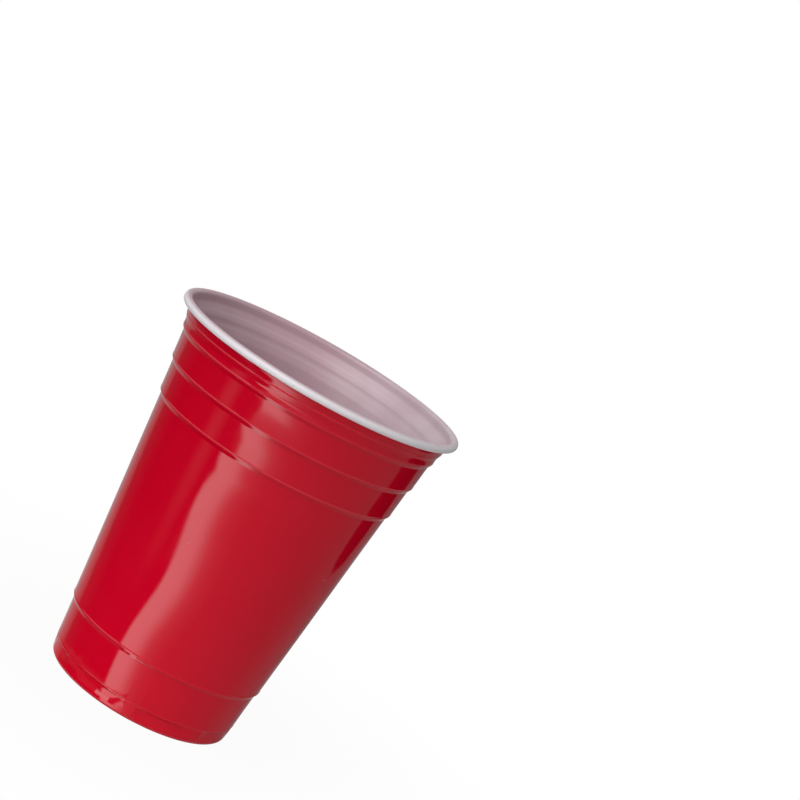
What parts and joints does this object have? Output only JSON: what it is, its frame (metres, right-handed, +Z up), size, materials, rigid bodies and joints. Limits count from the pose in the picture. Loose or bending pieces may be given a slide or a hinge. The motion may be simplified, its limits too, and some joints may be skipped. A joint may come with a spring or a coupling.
{
  "type": "plastic party cup",
  "caption": "Tapered single-use plastic drinking cup with a rolled rim, stepped grip bands under the rim and a set-in foot ring with V-shaped stacking lugs.",
  "frame": {"origin": "middle of the foot ring, on the surface the cup stands on", "axes": "+Z up along the cup's axis, out of its mouth; a stacking lug lies on each of +X, -X, +Y and -Y"},
  "size_m": [0.095, 0.095, 0.118],
  "materials": {
    "polystyrene": "gloss"
  },
  "bodies": {
    "root": {"cup": "polystyrene"}
  },
  "joints": []
}
